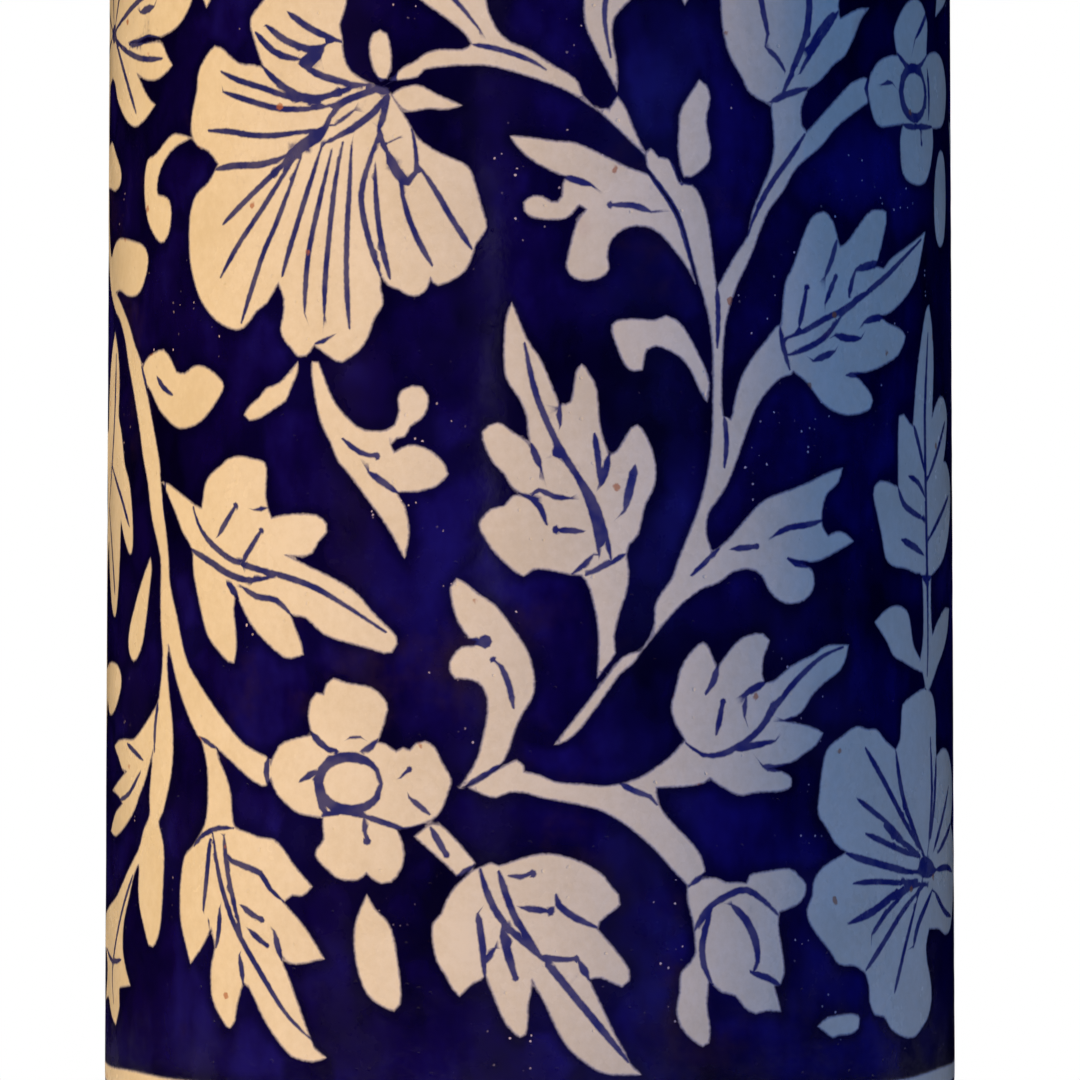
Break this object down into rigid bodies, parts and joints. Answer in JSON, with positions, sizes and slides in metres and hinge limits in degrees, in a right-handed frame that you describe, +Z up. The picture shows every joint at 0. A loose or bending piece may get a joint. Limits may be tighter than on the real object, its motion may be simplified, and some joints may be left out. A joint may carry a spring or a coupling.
{
  "type": "glazed pottery vase",
  "caption": "Tall straight-sided round vase on a turned foot, with a rounded shoulder, short neck and rolled rim, open at the top to hold water and stems.",
  "frame": {"origin": "centre of the level face that the foot ring stands on", "axes": "+Z up along the vase's axis, through the middle of its mouth; -Y towards the side that is usually seen"},
  "size_m": [0.1404, 0.1404, 0.3],
  "materials": {
    "bare_clay": "matte",
    "cobalt_glaze": "gloss",
    "cream_glaze": "gloss"
  },
  "bodies": {
    "root": {"foot_ring": "bare_clay", "floor_slab": "bare_clay", "heel_wall": "bare_clay", "body_cylinder": "bare_clay", "shoulder_ring": "bare_clay", "neck_collar": "bare_clay", "rim_roll": "bare_clay", "outside_glaze": "cobalt_glaze", "inside_glaze": "cream_glaze"}
  },
  "joints": []
}
